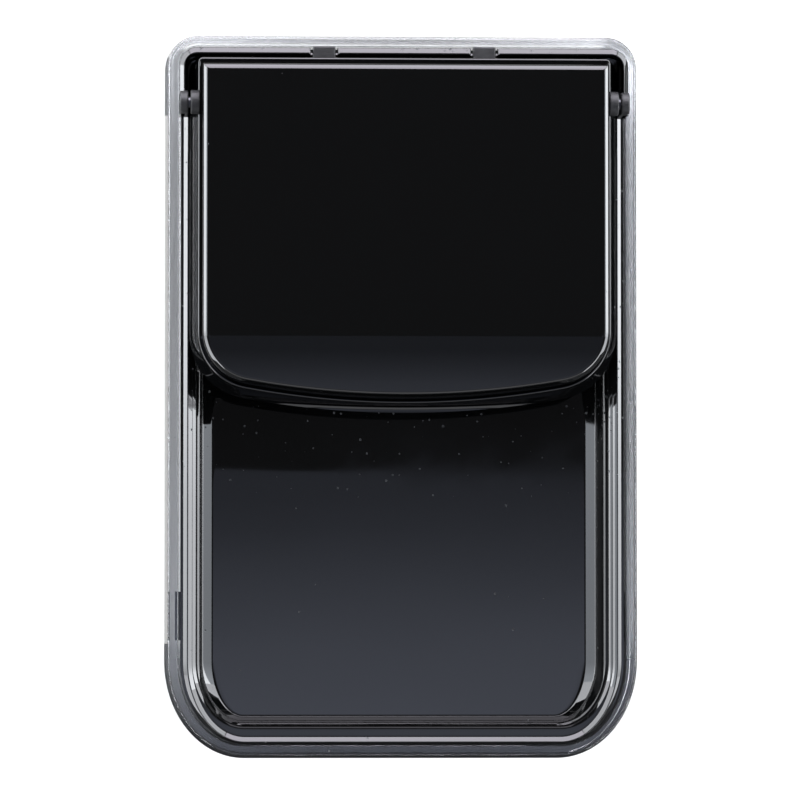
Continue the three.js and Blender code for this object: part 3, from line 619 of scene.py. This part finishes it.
def lid_outline(inset, rear_step=0.0):
    """Outline of the lid moved in by an inset: a wide front arc that runs tangent into the front
    corners, straight sides and small rear corners. At the rear the skirt has its own, smaller
    draft, and an outline can be stepped in farther."""
    x = LID_HALF_WIDTH - inset
    drafted = min(inset, SKIRT_DRAFT) * SKIRT_REAR_DRAFT / SKIRT_DRAFT
    rear_inset = drafted + max(inset - SKIRT_DRAFT, 0) + rear_step
    corner_x, arc_y = LID_HALF_WIDTH - LID_FRONT_CORNER, LID_FRONT_Y + LID_FRONT_ARC
    corner_y = arc_y - np.sqrt((LID_FRONT_ARC - LID_FRONT_CORNER) ** 2 - corner_x ** 2)
    turn = np.degrees(np.arctan2(corner_x, arc_y - corner_y))
    wide, tight = LID_FRONT_ARC - inset, LID_FRONT_CORNER - inset
    rear = max(LID_REAR_CORNER - inset, LEAST_LID_CORNER)
    front = arc(0, arc_y, wide, wide, -90 + turn / 60, -90 + turn, 30)
    corner = arc(corner_x, corner_y, tight, tight, -90 + turn, 0, 40)[1:]
    # One point lies on the crease
    corner[np.abs(corner[:, 1] - FALL_Y).argmin(), 1] = FALL_Y
    side = np.stack([np.full(10, x), np.linspace(LID_SIDE_FRONT_Y, LID_SIDE_REAR_Y, 10)], axis=1)
    back_y = LID_REAR_Y - rear_inset - rear
    return both_halves(np.concatenate([front, corner, side, arc(x - rear, back_y, rear, rear, 0, 90, 12)]))


def make_lid_frame():
    """The frame's section carried round: under the deck, inside of the skirt, its foot, its drafted
    outside, then over the lip onto the deck. Higher parts follow more of the lid's fall."""
    middle_z, lip_z = (SKIRT_Z + FRAME_TOP_Z) / 2, FRAME_TOP_Z - LIP_ROUND
    lip_top = (SKIRT_DRAFT + LIP_WIDTH * LIP_CROWN, FRAME_TOP_Z)
    lip = np.concatenate([
        quarter((SKIRT_DRAFT, lip_z), lip_top, "upright"),
        quarter(lip_top, (SKIRT_DRAFT + LIP_WIDTH, DECK_Z), "level")[1:],
        [(SKIRT_DRAFT + LIP_WIDTH + HOLD, DECK_Z)],
    ])
    foot = np.concatenate([[(SKIRT_WALL, SKIRT_Z)],
                           quarter((SKIRT_EDGE, SKIRT_Z), (0, SKIRT_Z + SKIRT_EDGE), "level", 6)])
    foot_z = SKIRT_Z + SKIRT_EDGE
    skirt = [carried(lid_outline, [(SKIRT_DRAFT * share, foot_z + (lip_z - foot_z) * share)],
                     lambda y, share=share: -lid_fall(y) * share)
             for share in np.linspace(0, 1, 8)[1:-1]]
    return np.concatenate([
        carried(lid_outline, [(SKIRT_DRAFT + SKIRT_WALL, DECK_Z - FRAME_DECK)], lambda y: -lid_fall(y)),
        carried(lid_outline, [(SKIRT_DRAFT / 2 + SKIRT_WALL, middle_z)], lambda y: -lid_fall(y) / 2),
        carried(lid_outline, foot),
        *skirt,
        carried(lid_outline, lip, lambda y: -lid_fall(y)),
    ])


lid_black = gloss_plastic("lid_black", (0.0040, 0.0042, 0.0046), roughness=(0.03, 0.09), swell_strength=0.12,
                          swell_scale=30.0, dust_share=0.28)
lid_frame = shell_piece("lid_frame_moulding", make_lid_frame())
dress(lid_frame, lid_black)
lid_parts = [lid_frame]
BOSS_RADIUS, BOSS_INNER_X, BOSS_OUTER_X, BOSS_SIDES = 1.75, 29.55, 30.95, 32
TAB_LOW_Z, TAB_HIGH_Z, TAB_ROOT, TAB_REACH = 19.4, 20.8, 1.5, 1.55
for name, side in (("left", -1), ("right", 1)):
    disc = arc(PIN_Y, PIN_Z, BOSS_RADIUS, BOSS_RADIUS, 0, 360 - 360 / BOSS_SIDES, BOSS_SIDES)
    boss = prism(f"lid_boss_{name}", disc, "x", (side * BOSS_INNER_X, side * BOSS_OUTER_X))
    left, right = side * NOTCH_X - (NOTCH_WIDTH / 2 - FIT), side * NOTCH_X + (NOTCH_WIDTH / 2 - FIT)
    root, tip = LID_REAR_Y - TAB_ROOT, LID_REAR_Y + TAB_REACH
    tab = prism(f"lid_tab_{name}", [(left, root), (right, root), (right, tip), (left, tip)], "z",
                (TAB_LOW_Z, TAB_HIGH_Z))
    for part in (boss, tab):
        round_edges(part)
        dress(part, mottled_black)
        lid_parts.append(part)
for part in lid_parts:
    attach(part, "lid")
    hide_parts("lid_frame")

# Lid cover
# The upper moulding of the lid: a polished black cap with a softly bevelled top edge, which presses
# onto the frame's deck inside its lip. At the rear it is stepped in, clear of the raised rim.
COVER_INSET, COVER_WALL, COVER_BOTTOM_Z, LID_TOP_Z, COVER_REAR_STEP = 1.8, 1.35, 21.85, 27.0, 0.7
COVER_EDGE, COVER_BEVEL_DEPTH, COVER_BEVEL_WIDTH, COVER_BEVEL_REACH = 1.2, 0.6, 0.71, 0.3
COVER_BEVEL_STEPS, COVER_SHARP = 20, 5.5


def make_lid_cover():
    """The cap's section carried round: inside, foot, upright wall, a bevel with both its corners
    rounded over, and the top, all following the lid's fall."""
    inner, edge_z = COVER_INSET + COVER_WALL, LID_TOP_Z - COVER_EDGE
    heights = np.linspace(COVER_BOTTOM_Z, edge_z, 4)[:-1]
    low = (COVER_INSET, LID_TOP_Z - COVER_BEVEL_DEPTH)
    high = (COVER_INSET + COVER_BEVEL_WIDTH, LID_TOP_Z)
    onto_top = (COVER_INSET + COVER_EDGE + HOLD, LID_TOP_Z)
    section = np.concatenate([
        [(inner, LID_TOP_Z - COVER_WALL), (inner, COVER_BOTTOM_Z)],
        np.stack([np.full(3, COVER_INSET), heights], axis=1),
        soft_corner((COVER_INSET, edge_z), low, high, COVER_BEVEL_REACH, COVER_BEVEL_STEPS),
        soft_corner(low, high, onto_top, COVER_BEVEL_REACH, COVER_BEVEL_STEPS),
        [onto_top],
    ])
    return carried(lambda inset: lid_outline(inset, COVER_REAR_STEP), section, lambda y: -lid_fall(y))


cover_black = gloss_plastic("cover_black", (0.0066, 0.0068, 0.0070), roughness=(0.03, 0.08),
                            swell_strength=0.08, swell_scale=22.0, dust_share=0.15)
lid_cover = shell_piece("lid_cover_moulding", make_lid_cover(), COVER_SHARP)
dress(lid_cover, cover_black)
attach(lid_cover, "lid")
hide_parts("lid_cover")

# Studio
# A white table in a dim room, seen from nearly overhead. Bright cards stand at both sides, dimmer
# ones at the corners, in front and behind, and a wide sheet hangs overhead. Dark sheets of painted
# shade and glowing sheets of painted light lie on the table round the case and show only in it.
# Places are in metres.
SIDE_X, SIDE_FRONT, SIDE_REAR, SIDE_LOW_Z, SIDE_SPLIT_Z, SIDE_TOP_Z = 0.62, -0.12, 0.13, 0.02, 0.225, 0.5
CORNER_Y, FRONT_CARD_TOP_Z, LYING_Z, ROOM = 0.6, 0.21, 5e-5, 4


def flat_sheet(name, corners):
    """A flat sheet between four corners."""
    sheet = bpy.data.objects.new(name, bpy.data.meshes.new(name))
    sheet.data.from_pydata(corners, [], [(0, 1, 2, 3)])
    bpy.context.scene.collection.objects.link(sheet)
    return sheet


def standing(start, end, low, high):
    """Corners of an upright sheet over the line between two (x, y) places."""
    return [(*start, low), (*end, low), (*end, high), (*start, high)]


def crossing(half_width, first, last):
    """Corners of a sheet as wide on the left as on the right, from one (y, z) to another."""
    return [(-half_width, *first), (half_width, *first), (half_width, *last), (-half_width, *last)]


def lying(near, far):
    """Corners of a sheet on the table between two opposite (x, y) corners."""
    return [(near[0], near[1], LYING_Z), (far[0], near[1], LYING_Z), (far[0], far[1], LYING_Z),
            (near[0], far[1], LYING_Z)]


def light_card(name, corners, levels, colour=(1, 1, 1), lights_matt=False):
    """A card of light. Its strength follows levels, pairs of y and strength, with straight steps
    between them. It shows in polished and clear faces, and some cards also light matt ones."""
    card = flat_sheet(name, corners)
    material = bpy.data.materials.new(name)
    material.use_nodes = True
    tree = material.node_tree
    tree.nodes.clear()
    ys, strengths = np.array(levels, float).T
    ramp = node(tree, "ShaderNodeValToRGB", Fac=graded(tree, object_places(tree)["Y"], ys[0], ys[-1]))
    stops = ramp.color_ramp.elements
    for share in (ys[1:-1] - ys[0]) / (ys[-1] - ys[0]):
        stops.new(share)
    for stop, strength in zip(stops, strengths / strengths.max()):
        stop.color = (strength, strength, strength, 1)
    level = math_node(tree, "MULTIPLY", ramp.outputs["Color"], strengths.max())
    light = node(tree, "ShaderNodeEmission", {}, {"Color": (*colour, 1)}, Strength=level)
    node(tree, "ShaderNodeOutputMaterial", Surface=light.outputs["Emission"])
    dress(card, material)
    card.visible_camera = card.visible_shadow = False
    card.visible_diffuse = lights_matt


for name, x in (("left", -SIDE_X), ("right", SIDE_X)):
    front, rear = (x, SIDE_FRONT), (x, SIDE_REAR)
    light_card(f"side_card_low_{name}", standing(front, rear, SIDE_LOW_Z, SIDE_SPLIT_Z),
               [(SIDE_FRONT, 6), (-0.03, 10), (0.0, 11), (0.05, 17), (SIDE_REAR, 18)],
               colour=(0.93, 0.96, 1.0), lights_matt=True)
    light_card(f"side_card_high_{name}", standing(front, rear, SIDE_SPLIT_Z, SIDE_TOP_Z),
               [(SIDE_FRONT, 4), (-0.02, 4), (0.09, 6), (SIDE_REAR, 6)],
               colour=(0.86, 0.92, 1.0), lights_matt=True)
    light_card(f"corner_card_{name}", standing(rear, (x * 0.56, CORNER_Y), SIDE_LOW_Z, SIDE_TOP_Z),
               [(SIDE_REAR, 9), (CORNER_Y, 9)], colour=(0.93, 0.95, 1.0))
    light_card(f"front_corner_card_{name}",
               standing(front, (x * 0.5, -CORNER_Y), SIDE_LOW_Z, FRONT_CARD_TOP_Z),
               [(-CORNER_Y, 9), (SIDE_FRONT, 9)], colour=(0.93, 0.95, 1.0))
light_card("front_card", crossing(0.31, (-CORNER_Y, SIDE_LOW_Z), (-0.58, FRONT_CARD_TOP_Z)),
           [(-CORNER_Y, 1.3), (-0.58, 1.3)], colour=(0.95, 0.96, 1.0))
light_card("rear_card", crossing(0.35, (0.7, 0.05), (0.5, 0.62)), [(0.5, 10), (0.7, 10)],
           colour=(0.93, 0.9, 1.0))
light_card("overhead_card", crossing(0.7, (-2.6, 1.2), (0.028, 1.2)),
           [(-2.6, 0.9), (-1.4, 0.7), (-0.5, 0.25), (-0.2, 0.25), (-0.11, 1.7), (-0.055, 1.65),
            (-0.033, 1.4), (0.012, 0.55), (0.028, 0.5)], colour=(0.74, 0.80, 1.0))

# Painted shade: dark sheets on the table along the front and the right, seen only in the clear case and
# polished faces, stand in for the table's shade under the case, and turn pale towards its middle
SHADE_FRONT_Y, SHADE_REAR_Y, SHADE_OUTER_X, SHADE_INNER_X = -0.051, -0.036, 0.028, 0.024
SHEET_EDGE_X, REAR_LINE_Y = 0.06, 0.042
shade_sheet_material, tree, shader = finish_material("painted_shade_sheet", Roughness=1.0)
places = object_places(tree)
# The painted shade fades from dark at the case's front and right walls to pale under the case
shade_fading = math_node(tree, "MULTIPLY", graded(tree, places["Y"], SHADE_FRONT_Y, SHADE_REAR_Y),
                     graded(tree, places["X"], SHADE_OUTER_X, SHADE_INNER_X))
shade_sheet_colour = blend_colours(tree, shade_fading, (0.02, 0.02, 0.022), (0.6, 0.6, 0.6))
tree.links.new(shade_sheet_colour, shader.inputs["Base Color"])
for name, near, far in (("front_painted_shade", (-SHEET_EDGE_X, SIDE_FRONT), (SHEET_EDGE_X, SHADE_REAR_Y)),
                        ("right_painted_shade", (SHADE_INNER_X, SHADE_REAR_Y), (SHEET_EDGE_X, REAR_LINE_Y))):
    dark_sheet = flat_sheet(name, lying(near, far))
    dress(dark_sheet, shade_sheet_material)
    dark_sheet.visible_camera = dark_sheet.visible_diffuse = dark_sheet.visible_shadow = False

# Painted light: glowing sheets on the table on the left and behind, seen only in the clear case and polished
# faces, brighten the clear wall there
LEFT_INNER_X, LEFT_LEVEL, BEHIND_Y, BEHIND_END_Y, BEHIND_RIGHT_X = -0.0335, 0.85, 0.0512, 0.1, 0.03
light_card("left_painted_light", lying((-SHEET_EDGE_X, SHADE_REAR_Y), (LEFT_INNER_X, REAR_LINE_Y)),
           [(SHADE_REAR_Y, LEFT_LEVEL), (REAR_LINE_Y, LEFT_LEVEL)])
light_card("rear_painted_light", lying((-SHEET_EDGE_X, BEHIND_Y), (BEHIND_RIGHT_X, BEHIND_END_Y)),
           [(BEHIND_Y, 1.0), (BEHIND_END_Y, 1.0)])

# The table is matt white paper. The camera sees it nearly white, and polished and clear faces see a
# faint glow of it
SEEN_GLOW, MIRRORED_GLOW = 0.95, 0.06
table = flat_sheet("table", crossing(ROOM, (-ROOM, 0), (ROOM, 0)))
paper = bpy.data.materials.new("white_paper")
paper.use_nodes = True
tree = paper.node_tree
tree.nodes.clear()
matt = node(tree, "ShaderNodeBsdfDiffuse", {}, {"Color": (0.6, 0.6, 0.6, 1)})
ray = node(tree, "ShaderNodeLightPath")
seen_in = math_node(tree, "MAXIMUM", ray.outputs["Is Glossy Ray"], ray.outputs["Is Transmission Ray"])
level = math_node(tree, "MAXIMUM", math_node(tree, "MULTIPLY", ray.outputs["Is Camera Ray"], SEEN_GLOW),
                  math_node(tree, "MULTIPLY", seen_in, MIRRORED_GLOW))
glow = node(tree, "ShaderNodeEmission", {}, {"Color": (1, 1, 1, 1)}, Strength=level)
both = node(tree, "ShaderNodeAddShader", {}, {}, in_0=matt.outputs["BSDF"], in_1=glow.outputs["Emission"])
node(tree, "ShaderNodeOutputMaterial", Surface=both.outputs["Shader"])
dress(table, paper)

# The room is dim grey, darker overhead, and the camera sees it white
world = bpy.data.worlds.new("studio")
bpy.context.scene.world = world
world.use_nodes = True
tree = world.node_tree
tree.nodes.clear()
place = node(tree, "ShaderNodeTexCoord")
height = node(tree, "ShaderNodeSeparateXYZ", Vector=place.outputs["Generated"])
room = node(tree, "ShaderNodeValToRGB", Fac=height.outputs["Z"])
room_greys = ((0.0, (0.3, 0.3, 0.31, 1)), (0.6, (0.08, 0.08, 0.085, 1)))
for stop, (position, grey) in zip(room.color_ramp.elements, room_greys):
    stop.position, stop.color = position, grey
room_light = node(tree, "ShaderNodeBackground", {}, {}, Color=room.outputs["Color"])
white = node(tree, "ShaderNodeBackground", {}, {"Color": (1, 1, 1, 1)})
ray = node(tree, "ShaderNodeLightPath")
choice = node(tree, "ShaderNodeMixShader", {}, {}, in_0=ray.outputs["Is Camera Ray"],
              in_1=room_light.outputs["Background"], in_2=white.outputs["Background"])
node(tree, "ShaderNodeOutputWorld", Surface=choice.outputs["Shader"])

# The camera stands a little to the left and the front of straight above, by these angles in degrees
CAMERA_LEFT, CAMERA_FRONT, CAMERA_DISTANCE, AIM_X = 2.8, 2.5, 0.9, 0.00038
CAMERA_LENS, SENSOR_WIDTH = 274.0, 36.0
camera = bpy.data.objects.new("camera", bpy.data.cameras.new("camera"))
bpy.context.scene.collection.objects.link(camera)
back = Vector((-np.sin(np.radians(CAMERA_LEFT)), -np.sin(np.radians(CAMERA_FRONT)), 1.0)).normalized()
right = Vector((0, 1, 0)).cross(back).normalized()
aim = Vector((AIM_X, 0.0, 0.0))
facing = Matrix((right, back.cross(right), back)).transposed().to_4x4()
camera.matrix_world = Matrix.Translation(aim + back * CAMERA_DISTANCE) @ facing
camera.data.lens, camera.data.sensor_width = CAMERA_LENS, SENSOR_WIDTH
camera.data.clip_start, camera.data.clip_end = 0.05, 20
bpy.context.scene.camera = camera
bpy.context.scene.view_settings.view_transform = "Standard"
